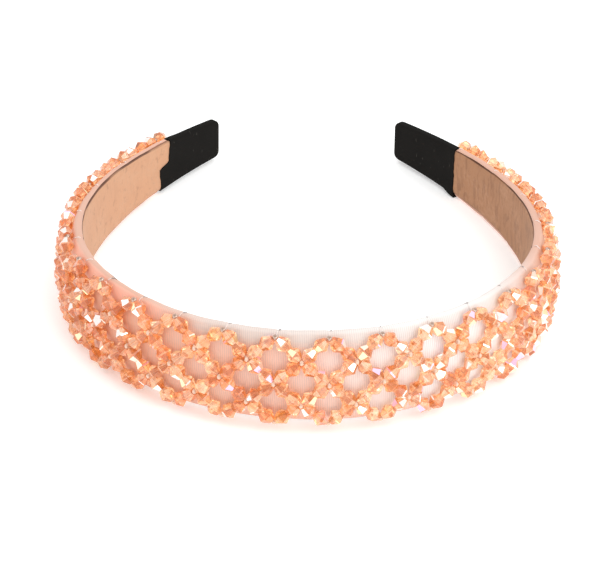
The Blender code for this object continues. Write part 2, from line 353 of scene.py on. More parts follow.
SEAT = next(mount for mount in frame["record"]["mounts"] if mount["name"] == "crown_seat")
TILT = math.atan2(SEAT["axis"][2], SEAT["axis"][1])
TURN = np.array([[1, 0, 0],
                 [0, math.cos(TILT), -math.sin(TILT)],
                 [0, math.sin(TILT), math.cos(TILT)]])
SHIFT = np.array(SEAT["pos_m"]) - TURN @ (place(SEAT_HALF, -LINING_THICKNESS, 0.0) * (0, 1, 1))


def to_world(points):
    """The band frame tilted about X until it rests, and moved to where the seat lies."""
    return np.asarray(points) @ TURN.T + SHIFT


# The net

def net_height(arc):
    """Height of the net between its top and bottom rows."""
    return 2 * (half_width(arc) - NET_MARGIN)


def filing(arc):
    """How far the top strand has straightened into a file: eased from 0 to 1 along an arm."""
    return smooth((np.abs(arc) - FILE_START) / FILE_EASE)


def row_step(strand, arc):
    """Height from a strand's upper row to its lower one: the top strand's eases to the depth of a
    nearly straight file, and the other strands share what it leaves."""
    even = net_height(arc) / STRANDS
    ease = filing(arc)
    if strand == 0:
        return even + (FILE_DEPTH - even) * ease
    top = even + (FILE_GAP - even) * ease
    return (net_height(arc) - top) / (STRANDS - 1)


def knot_columns(strand):
    """Columns of a strand and their arcs. Each side of a diamond keeps its length as rows close up,
    so the columns are counted by the integral of one over the side's run along the arc."""
    end = MOUTH - NET_END_GAP
    arcs = np.linspace(-(end + LEFT_CUT) if strand == 0 else -end, end, PLAN_STEPS)
    count = running_sum(1 / np.sqrt(SIDE_LENGTH ** 2 - row_step(strand, arcs) ** 2), arcs)
    middle = np.interp(NET_SHIFT, arcs, count)
    columns = np.arange(-int(middle), int(count[-1] - middle) + 1)
    return columns, np.interp(middle + columns, count, arcs)


def knot(strand, low, arc):
    """Place of a knot on a strand's upper or lower row: out so that the crystals clear the dome,
    and lifted by a share of the top row's lift that falls evenly to nothing at the bottom row."""
    half, edge, crest = band_sizes(arc)
    step = row_step(strand, arc)
    depth = low * step if strand == 0 else net_height(arc) - (STRANDS - strand - low) * step
    filed = filing(arc)
    more = LEAST_LIFT + (1 - LEAST_LIFT) * smooth((-arc - LIFT_START) / LIFT_EASE)
    lift = TOP_LIFT * more * (1 - filed) * (1 - depth / net_height(arc))
    height = half - NET_MARGIN - depth + lift
    clear = NET_CLEARANCE - ARM_CLOSER * filed
    out = outer_face(height, half, edge, crest) + CRYSTAL_DIAMETER / 2 + clear
    return place(arc, out, height)


def strand_line(strand):
    """Which knots of one zigzag are on its lower row, and their arcs."""
    columns, arcs = knot_columns(strand)
    return (strand + columns + 1) % 2, arcs


def edge_knots(side):
    """Arcs of the knots along the top edge (side 1) or the bottom edge (side -1) of the net."""
    low, arcs = strand_line(0 if side > 0 else STRANDS - 1)
    return arcs[low == (0 if side > 0 else 1)]


# Meshes

def unit(vectors):
    """The vectors scaled to length one."""
    return vectors / np.linalg.norm(vectors, axis=-1, keepdims=True)


def tube_faces(rings, around, offset=0):
    """Quads between the rings of a tube, and fans from a pole behind each end."""
    index = offset + np.arange(rings * around).reshape(rings, around)
    after = np.roll(index, -1, axis=1)
    quads = np.stack([index[:-1], after[:-1], after[1:], index[1:]], axis=-1).reshape(-1, 4)
    first, last = offset + rings * around, offset + rings * around + 1
    near = np.stack([after[0], index[0], np.full(around, first)], axis=-1)
    far = np.stack([index[-1], after[-1], np.full(around, last)], axis=-1)
    return [quads, np.concatenate([near, far])]


def with_poles(rings):
    """Points of the rings, then the mean point of the first and of the last ring."""
    flat = rings.reshape(-1, rings.shape[-1])
    return np.concatenate([flat, rings[:1].mean(axis=1), rings[-1:].mean(axis=1)])


def carried_tube(path, radius, around):
    """Round tube: at each point of the path a circle in the plane across the path's direction."""
    along = unit(np.gradient(path, axis=0))
    up = np.broadcast_to([0.0, 0.0, 1.0], along.shape)
    side = unit(np.cross(along, up) + 1e-6)
    over = np.cross(side, along)
    angle = np.arange(around) / around * 2 * np.pi
    circle = np.cos(angle)[:, None] * side[:, None] + np.sin(angle)[:, None] * over[:, None]
    return with_poles(path[:, None] + radius * circle)


def signed_volume(points, faces):
    """Sum over the fans of the faces of a sixth of each corner product."""
    total = 0.0
    for group in faces:
        for corner in range(1, group.shape[1] - 1):
            a, b, c = (points[group[:, pick]] for pick in (0, corner, corner + 1))
            total += (a * np.cross(b, c)).sum() / 6
    return total


def cloth_field(arc, height, out):
    """Arc, height and way out at each point of the rings and at the two poles."""
    return with_poles(np.stack(np.broadcast_arrays(arc, height, out), axis=-1))


def new_piece(name, points, faces, finish, fields=None, smoothly=True):
    """Object at the origin with its place in its mesh, its faces turned outwards, riding on the
    body. A field has one row for each point or for each face, of a number or of three."""
    points = to_world(points)
    if signed_volume(points - points.mean(axis=0), faces) < 0:
        faces = [group[:, ::-1] for group in faces]
    sizes = np.concatenate([np.full(len(group), group.shape[1]) for group in faces])
    mesh = bpy.data.meshes.new(name)
    mesh.vertices.add(len(points))
    mesh.vertices.foreach_set("co", points.ravel())
    mesh.loops.add(int(sizes.sum()))
    mesh.loops.foreach_set("vertex_index", np.concatenate([group.ravel() for group in faces]))
    mesh.polygons.add(len(sizes))
    mesh.polygons.foreach_set("loop_start", np.cumsum(sizes) - sizes)
    mesh.update(calc_edges=True)
    if mesh.validate():
        raise RuntimeError("the mesh of %s is not sound" % name)
    for field, values in (fields or {}).items():
        kind, key = ("FLOAT", "value") if values.ndim == 1 else ("FLOAT_VECTOR", "vector")
        domain = "POINT" if len(values) == len(points) else "FACE"
        layer = mesh.attributes.new(field, kind, domain)
        layer.data.foreach_set(key, np.ascontiguousarray(values, np.float32).ravel())
    mesh.polygons.foreach_set("use_smooth", np.full(len(sizes), smoothly))
    mesh.materials.append(finish)
    piece = bpy.data.objects.new(name, mesh)
    bpy.context.scene.collection.objects.link(piece)
    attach(piece, "root")
    return piece


def section_template(outer_steps, corner_steps, inner_steps):
    """Ring of a rounded section, as arrays: share of the flat's half height, cosine and sine of the
    corner's angle, and 1 on the outer face. It runs up the outer face and down the inner one."""
    outer = np.sin(np.linspace(-np.pi / 2, np.pi / 2, outer_steps))
    inner = np.sin(np.linspace(np.pi / 2, -np.pi / 2, inner_steps))
    corner = np.linspace(0, np.pi / 2, corner_steps + 2)
    down, up = corner[::-1][1:], corner[1:-1]
    flat = np.ones(len(down) + len(up))
    share = np.concatenate([outer, flat, inner, -flat])
    cosine = np.concatenate([0 * outer, np.cos(down), np.cos(up), 0 * inner,
                             -np.cos(down), -np.cos(up)])
    sine = np.concatenate([0 * outer + 1, np.sin(down), -np.sin(up), 0 * inner - 1,
                           -np.sin(down), np.sin(up)])
    face = np.concatenate([0 * outer + 1, 0 * down + 1, 0 * up, 0 * inner, 0 * down, 0 * up + 1])
    return share, cosine, sine, face


def rounded_section(template, half, inner, edge, crest, roll):
    """Out and height of the ring at each arc: flats, corners of the roll's radius, a domed face."""
    share, cosine, sine, face = template
    half, inner, edge, crest, roll = (np.asarray(size)[..., None]
                                      for size in (half, inner, edge, crest, roll))
    height = share * (half - roll) + cosine * roll
    middle = np.where(face > 0.5, edge - roll, inner + roll)
    dome = (crest - edge) * (1 - np.clip(height / half, -1, 1) ** 2) * np.clip(sine, 0, 1) * face
    return middle + sine * roll + dome, height


# Materials

class Term:
    """An output socket that can stand in sums and products; each one adds a Math node."""

    def __init__(self, finish, socket):
        self.finish = finish
        self.socket = socket

    def _join(self, operation, first, second):
        return self.finish.node("ShaderNodeMath", {"operation": operation}, {0: first, 1: second})

    def __add__(self, other):
        return self._join("ADD", self, other)

    def __radd__(self, other):
        return self._join("ADD", other, self)

    def __sub__(self, other):
        return self._join("SUBTRACT", self, other)

    def __rsub__(self, other):
        return self._join("SUBTRACT", other, self)

    def __mul__(self, other):
        return self._join("MULTIPLY", self, other)

    def __rmul__(self, other):
        return self._join("MULTIPLY", other, self)

    def __truediv__(self, other):
        return self._join("DIVIDE", self, other)

    def __pow__(self, other):
        return self._join("POWER", self, other)

    def __gt__(self, other):
        return self._join("GREATER_THAN", self, other)

    def __lt__(self, other):
        return self._join("LESS_THAN", self, other)


class Finish:
    """A material under construction: its nodes, its fields and its closing shader."""

    def __init__(self, name):
        self.material = bpy.data.materials.new(name)
        self.material.use_nodes = True
        self.tree = self.material.node_tree
        self.tree.nodes.clear()

    def node(self, kind, settings=None, inputs=None, output=0):
        """Add a node, set its settings and then its sockets, and give one of its outputs."""
        made = self.tree.nodes.new(kind)
        for name, value in (settings or {}).items():
            if name == "stops":
                while len(made.color_ramp.elements) < len(value):
                    made.color_ramp.elements.new(1.0)
                for element, (position, colour) in zip(made.color_ramp.elements, value):
                    element.position = position
                    element.color = (*colour, 1.0)
            elif name == "ramp_interpolation":
                made.color_ramp.interpolation = value
            else:
                setattr(made, name, value)
        for key, value in (inputs or {}).items():
            if isinstance(value, Term):
                self.tree.links.new(value.socket, made.inputs[key])
            else:
                made.inputs[key].default_value = value
        return Term(self, made.outputs[output])

    def field(self, name, output="Fac"):
        """A named field of the piece's mesh."""
        return self.node("ShaderNodeAttribute", {"attribute_name": name}, output=output)

    def parts(self, vector):
        """The three parts of a vector."""
        first = self.node("ShaderNodeSeparateXYZ", inputs={0: vector})
        outputs = first.socket.node.outputs
        return [Term(self, outputs[index]) for index in range(3)]

    def vector(self, x, y, z):
        """A vector from three parts."""
        return self.node("ShaderNodeCombineXYZ", inputs={0: x, 1: y, 2: z})

    def noise(self, where, scale, detail=2.0, rough=0.5):
        """Soft noise from 0 to 1 at a place."""
        return self.node("ShaderNodeTexNoise", {"noise_dimensions": "3D"},
                         {"Vector": where, "Scale": scale, "Detail": detail, "Roughness": rough})

    def sine(self, value):
        """The sine of a value in radians."""
        return self.node("ShaderNodeMath", {"operation": "SINE"}, {0: value})

    def span(self, value, low, high):
        """Ease of a value from 0 at low to 1 at high."""
        return self.node("ShaderNodeMapRange", {"interpolation_type": "SMOOTHSTEP"},
                         {"Value": value, "From Min": low, "From Max": high})

    def mix(self, factor, first, second):
        """Two colours mixed by a factor."""
        first, second = (colour if isinstance(colour, Term) else (*colour, 1.0)
                         for colour in (first, second))
        return self.node("ShaderNodeMix", {"data_type": "RGBA"},
                         {0: factor, 6: first, 7: second}, output=2)

    def bump(self, height, distance, strength):
        """A normal from a height field."""
        return self.node("ShaderNodeBump",
                         inputs={"Strength": strength, "Distance": distance, "Height": height})

    def close(self, **sockets):
        """The closing shader, its sockets given by name with _ for a space, and the output."""
        inputs = {name.replace("_", " "): value for name, value in sockets.items()}
        shader = self.node("ShaderNodeBsdfPrincipled", inputs=inputs)
        end = self.tree.nodes.new("ShaderNodeOutputMaterial")
        self.tree.links.new(shader.socket, end.inputs["Surface"])
        return self.material


def satin_finish(sizes):
    """Ribbed satin: a sine along the arc for the ribs, with fine grey lines between them, painted
    shade that drifts along the band and makes the left and the arms darker and pinker, a soft
    gloss, a painted peach glow of the crystals' light where they lie over it, and a painted glow."""
    finish = Finish("pale_pink_satin")
    cloth = finish.field("cloth", "Vector")
    net = finish.field("net")
    arc, height, out = finish.parts(cloth)
    drift = finish.noise(cloth, 60.0)
    fine = finish.noise(finish.vector(arc * 900.0, height * 160.0, out * 160.0), 1.0)
    turn = (arc + height * 0.06 + drift * 0.0008) * (2 * math.pi / sizes.rib_spacing)
    rib = finish.sine(turn) * 0.5 + 0.5
    groove = (1.0 - rib) ** 1.5
    # Painted shade and painted crystal light: the satin is drawn darker and pinker towards the
    # left, away from the key light
    left_shade = finish.span(drift * 0.024 - arc, -0.022, 0.026)
    # Painted shade and painted crystal light: the satin on the arms is drawn darker and more orange
    arms = finish.span(arc, 0.048, 0.092) + finish.span(arc, -0.018, -0.056)
    bare = finish.mix(left_shade, sizes.satin_colour, sizes.satin_left_shade)
    bare = finish.mix(arms, bare, sizes.satin_arm_shade)
    # Painted light: under the net the satin is drawn as lit through the crystals, whiter on the
    # right and peach on the left
    lit = finish.mix(left_shade, sizes.satin_net_lit, sizes.satin_glow)
    tone = finish.mix(net, bare, finish.mix(arms * 0.8, lit, sizes.satin_shade_glow))
    # Painted shade and painted crystal light: the satin along the lower edge is drawn deeper orange
    tone = finish.mix(finish.span(height, -0.0104, -0.0134) * 0.65, tone, sizes.satin_shade_glow)
    # Painted reflection: above the net on the left the outer face is drawn peach, as in the
    # crystals' light
    crystal_reflection = finish.span(out, 0.0012, 0.0022) * finish.span(arc, -0.026, -0.056) * (1.0 - net)
    tone = finish.mix(crystal_reflection * 0.85, tone, sizes.satin_crystal_reflection)
    colour = finish.mix(groove * (0.14 + fine * 0.36), tone, sizes.satin_groove)
    # Painted glow: the satin gives off light of its own colour, which lightens its shadows
    return finish.close(Base_Color=colour, Roughness=0.38 + fine * 0.16, Sheen_Weight=0.10,
                        Specular_IOR_Level=0.30, Coat_Roughness=0.35, Coat_Weight=0.08 + rib * 0.06,
                        Emission_Color=colour, Emission_Strength=sizes.satin_self_glow,
                        Normal=finish.bump(rib * 0.7 + fine * 0.5, 0.00004, 0.7))


def suede_finish(sizes):
    """Suede: painted light and shade, lighter on the left arm and darker on the right, wavy darker
    streaks and flecks across the band, denser on the right arm, worn paler in places, with a
    painted shadow as a dark broken line along its edge."""
    finish = Finish("tan_suede")
    cloth = finish.field("cloth", "Vector")
    arc, height, _ = finish.parts(cloth)
    cloud = finish.noise(cloth, 90.0, 3.0)
    bend = finish.noise(finish.vector(arc * 130.0, height * 130.0, 0.0), 1.0) * 1.6
    bent = finish.vector(arc * 560.0 + bend, height * 150.0 + bend, 0.0)
    streak = finish.noise(bent, 1.0, 3.0, 0.55)
    bent = finish.vector(arc * 420.0 + bend, height * 300.0 - bend, 4.0)
    blotch = finish.noise(bent, 1.0, 4.0, 0.65)
    fleck = finish.noise(finish.vector(arc * 900.0, height * 620.0, 0.0), 1.0, 3.0, 0.6)
    nap = finish.noise(cloth, 3200.0)
    # Painted light and shade: the lining is drawn lighter on the left arm, which faces the key
    # light, and darker on the right arm, which is in shade
    right = finish.span(arc + cloud * 0.02, -0.05, 0.07)
    tone = finish.mix(right, sizes.suede_lit_left, sizes.suede_shaded_right)
    worn = finish.span(fleck * 0.5 + cloud * 0.5, 0.46, 0.66)
    pale = finish.mix(worn * (0.5 - right * 0.2), tone, sizes.suede_pale)
    lines = finish.span(streak, 0.46, 0.68) * (0.05 + right * 0.27)
    specks = finish.span(fleck, 0.57, 0.70) * 0.14
    spots = finish.span(blotch, 0.54, 0.68) * (0.20 - right * 0.1)
    deep = finish.mix(lines + (specks + spots), pale, sizes.suede_nap_and_gap_shade)
    # Painted shadow: a dark broken line along the lining's edge, in the gap beside the rim
    broken = finish.span(finish.noise(finish.vector(arc * 75.0, 0.0, 0.0), 1.0, 1.0), 0.36, 0.50)
    edge = finish.span(finish.field("rim"), 0.00034, 0.00010) * (0.30 + broken * 0.60)
    colour = finish.mix(edge, deep, sizes.suede_nap_and_gap_shade)
    relief = nap * 0.5 + fleck * 0.7 + streak * 0.5
    return finish.close(Base_Color=colour, Roughness=0.88 + nap * 0.1, Sheen_Weight=0.12,
                        Sheen_Roughness=0.6, Specular_IOR_Level=0.15,
                        Normal=finish.bump(relief, 0.00010, 0.7))


def ribbon_finish(sizes):
    """Black ribbon: a sine along the arc for its close ribs, another over the height for the weave
    between them, and a few pale flecks of lint."""
    finish = Finish("black_ribbon")
    cloth = finish.field("cloth", "Vector")
    arc, height, out = finish.parts(cloth)
    cloud = finish.noise(cloth, 160.0)
    fine = finish.noise(cloth, 2600.0)
    turn = (arc + cloud * 0.0004) * (2 * math.pi / sizes.ribbon_spacing)
    rib = finish.sine(turn) * 0.5 + 0.5
    cross = finish.sine(height * (2 * math.pi / (1.4 * sizes.ribbon_spacing))) * 0.5 + 0.5
    weave = rib * 0.7 + cross * 0.3
    tone = finish.mix(weave * 0.3 + cloud * 0.5, sizes.ribbon_deep, sizes.ribbon_colour)
    fleck = finish.noise(finish.vector(arc * 1500.0, height * 420.0, out * 400.0), 1.0, 1.0)
    colour = finish.mix(finish.span(fleck, 0.72, 0.80) * 0.7, tone, sizes.ribbon_fleck)
    return finish.close(Base_Color=colour, Roughness=0.86 + fine * 0.12, Specular_IOR_Level=0.10,
                        Normal=finish.bump(weave + fine * 0.4, 0.00005, 0.7))


def crystal_finish(sizes):
    """Peach glass with a pearly coating: painted highlights make some facets flash white, pink or
    straw, the rest let light through, deeper in some stones than in others, with painted shade and
    painted reflections in them, and a painted glow from within."""
    finish = Finish("peach_crystal")
    where = finish.node("ShaderNodeTexCoord", output="Object")
    depth, flash, facet = (finish.field(name) for name in ("depth", "flash", "facet"))
    # Cells about a millimetre wide stand for the broken reflections inside a stone
    cells = finish.node("ShaderNodeTexVoronoi", inputs={"Vector": where, "Scale": 900.0},
                        output="Color")
    pick, other, _ = finish.parts(cells)
    turned = finish.node("ShaderNodeLayerWeight", inputs={"Blend": 0.5}, output="Facing")
    across = finish.parts(where)[0]
    body = finish.mix(depth, sizes.crystal_colour, sizes.crystal_deep)
    body = finish.mix((pick > 0.72) * (0.45 + other * 0.50), body, sizes.crystal_shade)
    body = finish.mix((pick < 0.18) * (0.40 + other * 0.50), body, sizes.crystal_spark)
    # Painted shade and painted highlights: some facets are drawn dark and some light
    body = finish.mix((facet < 0.22) * 0.85, body, sizes.crystal_shade)
    body = finish.mix((facet > 0.84) * 0.65, body, sizes.crystal_spark)
    # Painted shade: the crystals on the left, away from the key light, are drawn darker
    body = finish.mix(finish.span(across, -0.030, -0.066) * 0.32, body, sizes.crystal_shade)
    # Painted shade: facets turned away from the eye are drawn darker
    body = finish.mix(finish.span(turned, 0.38, 0.90) * 0.85, body, sizes.crystal_shade)
    # Painted highlights: flashing facets are coloured white, pink, straw or peach as glints of the
    # pearly coating, more of them towards the light
    hues = finish.node("ShaderNodeValToRGB",
                       {"ramp_interpolation": "CONSTANT",
                        "stops": [(0.0, sizes.flash_white), (0.50, sizes.flash_pink),
                                  (0.64, sizes.flash_straw), (0.80, sizes.flash_peach)]},
                       {0: flash / sizes.flash_share})
    bright = flash < sizes.flash_share
    colour = finish.mix(bright, body, hues)
    # Painted glow: the crystals give off light of their own colour
    return finish.close(Base_Color=colour, Metallic=bright * sizes.flash_strength, Roughness=0.03,
                        IOR=1.56, Transmission_Weight=0.80, Coat_Weight=0.5, Coat_Roughness=0.03,
                        Coat_IOR=1.6, Emission_Color=colour, Emission_Strength=sizes.crystal_self_glow)


def knot_finish(sizes):
    """Glass seed bead: clear peach in the net, silver-lined along the top, painted shade in its
    hole.
    """
    finish = Finish("glass_seed_bead")
    hole = finish.field("hole")
    silver = finish.field("silver")
    glass = finish.mix(silver, sizes.knot_colour, sizes.knot_silver)
    # Painted shade in the hole, deeper in the silver-lined beads
    colour = finish.mix(hole * (0.2 + silver * 0.7), glass, sizes.knot_hole_shade)
    # Painted glow: the bead gives off light of its own colour
    return finish.close(Base_Color=colour, Metallic=silver * 0.6, Roughness=0.08, IOR=1.5,
                        Transmission_Weight=0.5, Coat_Weight=0.5,
                        Emission_Color=colour, Emission_Strength=sizes.knot_self_glow)


def thread_finish(sizes):
    """Clear nylon line with a slight milkiness along it, and painted shade where it crosses the
    rim.
    """
    finish = Finish("nylon_thread")
    milk = finish.noise(finish.node("ShaderNodeTexCoord", output="Object"), 900.0)
    # Painted shade on a stitch where it crosses the rim on the front
    shaded = finish.field("rim") * (0.6 + milk * 0.4)
    colour = finish.mix(shaded, sizes.thread_colour, sizes.stitch_shade)
    return finish.close(Base_Color=colour, Roughness=0.30 + milk * 0.2, IOR=1.35,
                        Specular_IOR_Level=0.3)


def floor_finish(sizes):
    """Matt pale paper with a faint grain, lit a little from below."""
    finish = Finish("pale_paper")
    grain = finish.noise(finish.node("ShaderNodeTexCoord", output="Object"), 40.0)
    colour = finish.mix(grain * 0.04, sizes.floor_colour, sizes.floor_grain)
    return finish.close(Base_Color=colour, Roughness=0.9, Specular_IOR_Level=0.1,
                        Emission_Color=(1.0, 1.0, 1.0, 1.0), Emission_Strength=sizes.floor_lift)


# Sizes and colours

def length(name, description, default):
    """A property for a length in metres."""
    return FloatProperty(name=name, description=description, default=default, min=0.0, precision=5,
                         unit="LENGTH")


def share(name, description, default):
    """A property for a share from 0 to 1."""
    return FloatProperty(name=name, description=description, default=default, min=0.0, max=1.0,
                         subtype="FACTOR")


def colour(name, description, default):
    """A property for a linear colour."""
    return FloatVectorProperty(name=name, description=description, default=default, size=3, min=0.0,
                               max=1.0, subtype="COLOR")


class HeadbandSizes(bpy.types.PropertyGroup):
    """Sizes and colours of the headband's looks."""

    rim_bulge: length("Rim bulge", "How far the cover's rim stands in beside the lining", 0.00085)
    lining_rim: length("Lining rim", "From the lining's edge to the edge of the band", 0.0009)
    arm_trim: length("Arm trim", "How much narrower the cloth is on each edge of the arms", 0.0002)
    stitch_dent: length("Stitch dent", "How deep a stitch presses into the cover's rim", 0.00018)
    rib_spacing: length("Rib spacing", "From one rib of the satin to the next", 0.00058)
    ribbon_spacing: length("Ribbon rib spacing", "From one rib of the wraps to the next", 0.00050)
    ribbon_roll: length("Ribbon roll", "Radius of the wraps' long edges", 0.00085)
    ribbon_bulge: length("Ribbon bulge", "How far the right wrap's lower corner bulges", 0.00100)
    bead_diameter: length("Knot bead diameter", "Outside diameter of a bead at a knot", 0.0017)
    bead_length: length("Knot bead length", "Length of a bead at a knot along its hole", 0.0011)
    thread_diameter: length("Thread diameter", "Diameter of the nylon thread", 0.00026)
    tilt_spread: FloatProperty(name="Crystal tilt", description="How far crystals lean out of line",
                               default=0.06, min=0.0, max=0.5, subtype="ANGLE")
    flash_share: share("Flashing facets", "Share of facets with a bright coating", 0.10)
    flash_strength: share("Flash strength", "How mirror-like a coated facet is", 0.80)
    # Painted glow: light of its own colour that the satin gives off
    satin_self_glow: share("Satin lift", "Light of its own colour that the satin scatters", 0.07)
    # Painted glow: light of its own colour that a crystal gives off
    crystal_self_glow: share("Crystal lift", "Light of its own colour scattered in a crystal", 0.17)
    # Painted glow: light of its own colour that a bead gives off
    knot_self_glow: share("Knot bead lift", "Light of its own colour scattered in a bead", 0.12)
    floor_lift: share("Floor lift", "Light from below the floor of the stage", 0.20)
    satin_colour: colour("Satin", "The bare satin at its whitest", (0.79, 0.76, 0.74))
    # Painted shade: the bare satin on the left, away from the key light and tinted by the crystals
    satin_left_shade: colour("Satin blush", "The bare satin at its pinkest", (0.68, 0.58, 0.53))
    # Painted shade: the bare satin on the arms
    satin_arm_shade: colour("Satin, arms", "The bare satin on the arms", (0.67, 0.37, 0.26))
    # Painted shade and painted crystal light: the satin under the net on the arms and along the
    # lower edge
    satin_shade_glow: colour("Satin, deep", "The satin under the net on the arms", (0.80, 0.38, 0.24))
    # Painted light: the satin under the net, lit through the crystals
    satin_net_lit: colour("Satin, net", "The satin under the net at its whitest", (0.91, 0.885, 0.88))
    satin_glow: colour("Satin glow", "The satin in the crystals' light", (0.83, 0.53, 0.42))
    # Painted reflection of the crystals' light on the satin over the net on the left
    satin_crystal_reflection: colour("Satin flush", "The satin over the net on the left", (0.98, 0.48, 0.35))
    satin_groove: colour("Satin groove", "Between the ribs of the satin", (0.46, 0.41, 0.40))
    # Painted light: the lining on the left arm, which faces the key light
    suede_lit_left: colour("Suede", "The lining on the left arm", (0.60, 0.325, 0.190))
    # Painted shade: the lining on the right arm, which faces away from the key light
    suede_shaded_right: colour("Suede, right", "The lining on the right arm", (0.39, 0.195, 0.100))
    suede_pale: colour("Worn suede", "Where the nap is worn", (0.62, 0.37, 0.235))
    # Real darker marks of the nap, and the painted shadow along the lining's edge
    suede_nap_and_gap_shade: colour("Deep suede", "In the nap and along the edge", (0.115, 0.045, 0.026))
    ribbon_colour: colour("Ribbon", "The wraps", (0.013, 0.0118, 0.0105))
    ribbon_deep: colour("Ribbon groove", "Between the ribs of the wraps", (0.007, 0.0065, 0.006))
    ribbon_fleck: colour("Lint", "Flecks on the wraps", (0.060, 0.056, 0.050))
    crystal_colour: colour("Crystal", "The palest crystals", (1.0, 0.64, 0.37))
    crystal_deep: colour("Deep crystal", "The deepest crystals", (1.0, 0.40, 0.15))
    # Painted shade of facets turned away from the eye, of dark facets and of the left side
    crystal_shade: colour("Crystal, dark", "Facets turned away from the eye", (0.54, 0.155, 0.032))
    crystal_spark: colour("Crystal, light", "Light reflections inside a crystal", (1.0, 0.78, 0.55))
    flash_white: colour("Flash, white", "The most common flash", (1.0, 0.96, 0.93))
    flash_pink: colour("Flash, pink", "A flash of the pearly coating", (1.0, 0.62, 0.86))
    flash_straw: colour("Flash, straw", "A flash of the pearly coating", (1.0, 0.86, 0.50))
    flash_peach: colour("Flash, peach", "The warmest flash", (1.0, 0.80, 0.66))
    knot_silver: colour("Knot bead, top", "Silver in the beads along the top", (0.62, 0.46, 0.38))
    # Painted shade inside the beads' holes
    knot_hole_shade: colour("Knot bead, hole", "Inside the beads' holes", (0.24, 0.14, 0.09))
    knot_colour: colour("Knot bead", "Glass of the beads at the knots", (1.0, 0.74, 0.58))
    thread_colour: colour("Thread", "The nylon thread over the cloth", (0.86, 0.78, 0.75))
    # Painted shade on the thread where it crosses the rim
    stitch_shade: colour("Stitch", "The thread where it presses into the rim", (0.20, 0.17, 0.17))
    floor_colour: colour("Floor", "The floor of the stage", (0.97, 0.98, 0.98))
    floor_grain: colour("Floor grain", "The grain of the floor", (0.90, 0.90, 0.90))


# Pieces

class HEADBAND_OT_cover(bpy.types.Operator):
    """Satin cover over the padded band, with a rolled rim that the stitches press into"""

    bl_idname = "headband.cover"
    bl_label = "Satin cover"

    def rim(self, run, half, height, sine, sizes):
        """How far the rim stands in beside the lining: the bulge, eased in over the height beyond
        the lining's edge and over the turn of the corner, and changed in amount along the arc."""
        along = smooth((np.abs(run) - ARM_BULGE_START) / ARM_BULGE_EASE)
        bulge = sizes.rim_bulge * (FRONT_BULGE + (1 - FRONT_BULGE) * along)
        bulge = bulge * (1 - BULGE_LOSS * smooth((-run - LOSS_START) / LOSS_EASE))
        beyond = np.abs(height) - (half - sizes.lining_rim + left_wider(run) + BULGE_GAP)
        return bulge * smooth(beyond / BULGE_EASE) * smooth(np.clip(-sine, 0, 1) * 1.4)

    def dents(self, side, run, half, height, sizes):
        """Depth of one edge's dents: a bell curve along the arc at each stitch, near the edge."""
        gap = run - edge_knots(side) - STITCH_SLIP
        bell = np.exp(-(gap / DENT_SPREAD) ** 2).sum(axis=1)[:, None]
        return sizes.stitch_dent * bell * smooth((side * height - (half - DENT_REACH)) / DENT_EASE)

    def execute(self, context):
        sizes = context.scene.headband
        arc = np.linspace(-(MOUTH + TUCK), MOUTH + TUCK, 621)
        _, edge, crest = band_sizes(arc)
        template = section_template(19, 5, 21)
        sine = template[2]
        out, height = rounded_section(template, cloth_half(arc, sizes), FIT_GAP, edge, crest,
                                      (edge - FIT_GAP) / 2)
        run = arc[:, None]
        half = cloth_half(run, sizes)
        out = out - self.rim(run, half, height, sine, sizes)
        for side in (1, -1):
            dent = self.dents(side, run, half, height, sizes)
            height = height - side * dent
            out = out - DENT_TURN * dent * np.sign(sine)
        near_edge = smooth(np.abs(height) / half * 2 - 1)
        height = height + waves(run, COVER_WAVES) * np.sign(height) * near_edge
        # Under a wrap the band is pressed narrower and thinner
        for side in (1, -1):
            under = smooth((side * run - mouth_arc(side, height) + TUCK_START) / TUCK_EASE)
            height = height * (1 - under * TUCK_PINCH / half)
            out = out - under * TUCK_PRESS * np.clip(sine, 0, 1)
        rings = place(run, out, height)
        lit = smooth((half - NET_LIGHT_TOP - height) / NET_LIGHT_EASE) * (sine > -0.95)
        fields = {"cloth": cloth_field(run, height, out),
                  "net": np.concatenate([lit.ravel(), [0.0, 0.0]])}
        piece = new_piece("satin_cover", with_poles(rings), tube_faces(*rings.shape[:2]),
                          satin_finish(sizes), fields)
        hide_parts("padded_band")
        return {"FINISHED"}


class HEADBAND_OT_lining(bpy.types.Operator):
    """Suede lining on the side of the head, cut a little narrower than the band"""

    bl_idname = "headband.lining"
    bl_label = "Suede lining"

    def execute(self, context):
        sizes = context.scene.headband
        arc = np.linspace(-(MOUTH + TUCK), MOUTH + TUCK, 481)
        half = cloth_half(arc, sizes) - sizes.lining_rim + left_wider(arc)
        cut = half + waves(arc, LINING_WAVES)
        back = np.full_like(arc, FIT_GAP - LINING_SINK)
        template = section_template(7, 4, 17)
        out, height = rounded_section(template, cut, -LINING_THICKNESS, back, back, LINING_ROLL)
        rim = cut[:, None] - np.abs(height)
        # The face on the head's side is pressed in along its edge
        pressed = smooth((EDGE_PRESS_WIDTH - rim) / EDGE_PRESS_EASE) * (out < -FIT_GAP)
        out = out + EDGE_PRESS * pressed
        run = arc[:, None]
        rings = place(run, out, height)
        fields = {"cloth": cloth_field(run, height, out),
                  "rim": np.concatenate([rim.ravel(), half[[0, -1]]])}
        piece = new_piece("suede_lining", with_poles(rings), tube_faces(*rings.shape[:2]),
                          suede_finish(sizes), fields)
        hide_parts("lining")
        area = running_sum(2 * half, arc)[-1]
        2 * half.max()
        return {"FINISHED"}


